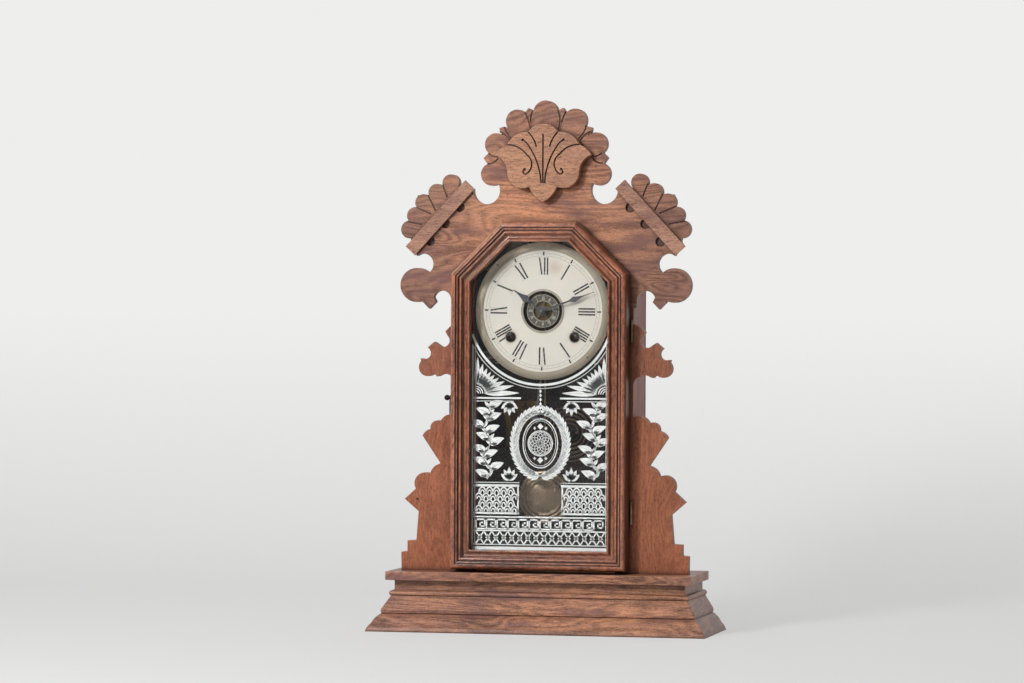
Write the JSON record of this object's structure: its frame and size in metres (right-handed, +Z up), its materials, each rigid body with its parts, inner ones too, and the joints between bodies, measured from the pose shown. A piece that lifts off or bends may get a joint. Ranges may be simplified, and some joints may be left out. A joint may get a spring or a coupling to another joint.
{
  "type": "shelf clock",
  "caption": "Wooden shelf clock with fretted crest and wings, glazed door with slanted corners, Roman dial, pendulum, alarm disc and coil gong.",
  "frame": {"origin": "on the surface the clock stands on, under the middle of its base", "axes": "+X to the right seen from the front, +Y towards the back, +Z up"},
  "size_m": [0.38, 0.134, 0.5862],
  "materials": {
    "walnut": "satin varnish over grain",
    "pale_walnut": "worn satin varnish",
    "case_wood": "dull stain",
    "brass": "aged",
    "old_brass": "tarnished",
    "grey_metal": "dull",
    "steel": "dull",
    "blued_steel": "satin",
    "dial_paper": "matt, yellowed",
    "iron": "black",
    "door_glass": "clear with a printed design"
  },
  "bodies": {
    "case": {"base_front_moulding": "walnut", "base_left_moulding": "walnut", "base_right_moulding": "walnut", "base_back_rail": "case_wood", "base_top_board": "walnut", "case_side_left": "case_wood", "case_side_right": "case_wood", "case_top_board": "case_wood", "back_board": "case_wood", "front_top_panel": "walnut", "crest_ornament": "pale_walnut", "ear_bars": "pale_walnut", "side_board_left": "walnut", "side_board_right": "walnut", "case_hinge_leaves": "brass", "case_blocks": "case_wood", "dial_pan": "old_brass", "dial_bezel": "old_brass", "dial_paper": "dial_paper", "dial_grommets": "old_brass", "case_screws": "steel", "front_plate": "brass", "back_plate": "brass", "plate_pillars": "steel", "pillar_nuts": "steel", "mainsprings": "steel", "gong_coil": "steel", "gong_block": "iron", "movement_studs": "brass", "alarm_frame": "brass"},
    "door": {"door_bottom_rail": "walnut", "door_left_stile": "walnut", "door_right_stile": "walnut", "door_left_diagonal": "walnut", "door_right_diagonal": "walnut", "door_top_rail": "walnut", "door_glass": "door_glass", "door_hinge_leaves": "brass"},
    "latch": {"door_latch": "steel"},
    "minute": {"centre_arbor": "steel", "minute_hand": "blued_steel"},
    "hour": {"hour_wheel": "brass", "hour_hand": "blued_steel"},
    "alarm_dial": {"alarm_disc": "grey_metal"},
    "motion": {"minute_wheel": "brass"},
    "time_great": {"time_great_wheel": "brass"},
    "time_second": {"time_second_wheel": "brass"},
    "centre": {"centre_wheel": "brass"},
    "time_third": {"time_third_wheel": "brass"},
    "escape": {"escape_wheel": "brass"},
    "verge": {"verge": "steel"},
    "pendulum": {"pendulum_rod": "steel", "pendulum_bob": "old_brass"},
    "strike_great": {"strike_great_wheel": "brass"},
    "strike_second": {"strike_second_wheel": "brass"},
    "strike_third": {"strike_third_wheel": "brass"},
    "fly": {"strike_fly": "brass"},
    "hammer": {"strike_hammer": "steel"},
    "alarm_wheel": {"alarm_wheel": "brass"},
    "alarm_hammer": {"alarm_hammer": "steel"}
  },
  "joints": [
    {"name": "door_hinge", "type": "hinge", "parent": "case", "child": "door", "pos_m": [0.0984, -0.0173, 0.232], "axis": [0, 0, 1], "range_deg": [0, 95]},
    {"name": "latch_turn", "type": "hinge", "parent": "door", "child": "latch", "pos_m": [-0.1006, -0.0189, 0.2575], "axis": [1, 0, 0], "range_deg": [0, 90]},
    {"name": "minute_spin", "type": "hinge", "parent": "case", "child": "minute", "pos_m": [-0.0024, -0.01, 0.3538], "axis": [0, 1, 0], "continuous": true},
    {"name": "hour_spin", "type": "hinge", "parent": "case", "child": "hour", "pos_m": [-0.0024, -0.012, 0.3538], "axis": [0, 1, 0], "continuous": true},
    {"name": "alarm_set", "type": "hinge", "parent": "hour", "child": "alarm_dial", "pos_m": [-0.0024, -0.012, 0.3538], "axis": [0, 1, 0], "continuous": true},
    {"name": "motion_spin", "type": "hinge", "parent": "case", "child": "motion", "pos_m": [-0.01371, -0.006, 0.36511], "axis": [0, 1, 0], "continuous": true},
    {"name": "escape_spin", "type": "hinge", "parent": "case", "child": "escape", "pos_m": [-0.0024, 0.02, 0.3816], "axis": [0, 1, 0], "continuous": true},
    {"name": "time_third_spin", "type": "hinge", "parent": "case", "child": "time_third", "pos_m": [0.01566, 0.02, 0.36903], "axis": [0, 1, 0], "continuous": true},
    {"name": "time_second_spin", "type": "hinge", "parent": "case", "child": "time_second", "pos_m": [0.03258, 0.02, 0.35498], "axis": [0, 1, 0], "continuous": true},
    {"name": "centre_spin", "type": "hinge", "parent": "case", "child": "centre", "pos_m": [-0.0024, 0.017, 0.3538], "axis": [0, 1, 0], "continuous": true},
    {"name": "time_great_spin", "type": "hinge", "parent": "case", "child": "time_great", "pos_m": [0.0338, 0.02, 0.325], "axis": [0, 1, 0], "continuous": true},
    {"name": "pendulum_swing", "type": "hinge", "parent": "case", "child": "pendulum", "pos_m": [-0.0024, 0.0004, 0.396], "axis": [0, 1, 0], "range_deg": [-4, 4]},
    {"name": "verge_rock", "type": "hinge", "parent": "case", "child": "verge", "pos_m": [-0.0024, 0.004, 0.396], "axis": [0, 1, 0], "range_deg": [-4, 4]},
    {"name": "fly_spin", "type": "hinge", "parent": "case", "child": "fly", "pos_m": [-0.02798, 0.02, 0.38971], "axis": [0, 1, 0], "continuous": true},
    {"name": "strike_third_spin", "type": "hinge", "parent": "case", "child": "strike_third", "pos_m": [-0.02046, 0.02, 0.36903], "axis": [0, 1, 0], "continuous": true},
    {"name": "strike_second_spin", "type": "hinge", "parent": "case", "child": "strike_second", "pos_m": [-0.03738, 0.02, 0.35498], "axis": [0, 1, 0], "continuous": true},
    {"name": "strike_great_spin", "type": "hinge", "parent": "case", "child": "strike_great", "pos_m": [-0.0386, 0.02, 0.325], "axis": [0, 1, 0], "continuous": true},
    {"name": "hammer_swing", "type": "hinge", "parent": "case", "child": "hammer", "pos_m": [-0.0024, 0.026, 0.3078], "axis": [0, 1, 0], "range_deg": [0, 12]},
    {"name": "alarm_wheel_spin", "type": "hinge", "parent": "case", "child": "alarm_wheel", "pos_m": [-0.041, 0.03, 0.222], "axis": [0, 1, 0], "continuous": true},
    {"name": "alarm_hammer_swing", "type": "hinge", "parent": "case", "child": "alarm_hammer", "pos_m": [-0.041, 0.04, 0.246], "axis": [0, 1, 0], "range_deg": [-10, 0]}
  ],
  "couplings": [
    {"joint": "hour_spin", "follows": "minute_spin", "ratio": 0.083333},
    {"joint": "motion_spin", "follows": "minute_spin", "ratio": -0.33333},
    {"joint": "time_third_spin", "follows": "escape_spin", "ratio": -0.1},
    {"joint": "time_second_spin", "follows": "escape_spin", "ratio": 0.01},
    {"joint": "centre_spin", "follows": "escape_spin", "ratio": -0.013333},
    {"joint": "time_great_spin", "follows": "escape_spin", "ratio": -0.0011111},
    {"joint": "verge_rock", "follows": "pendulum_swing", "ratio": 1},
    {"joint": "strike_third_spin", "follows": "fly_spin", "ratio": -0.1},
    {"joint": "strike_second_spin", "follows": "fly_spin", "ratio": 0.01},
    {"joint": "strike_great_spin", "follows": "fly_spin", "ratio": -0.0011111}
  ]
}
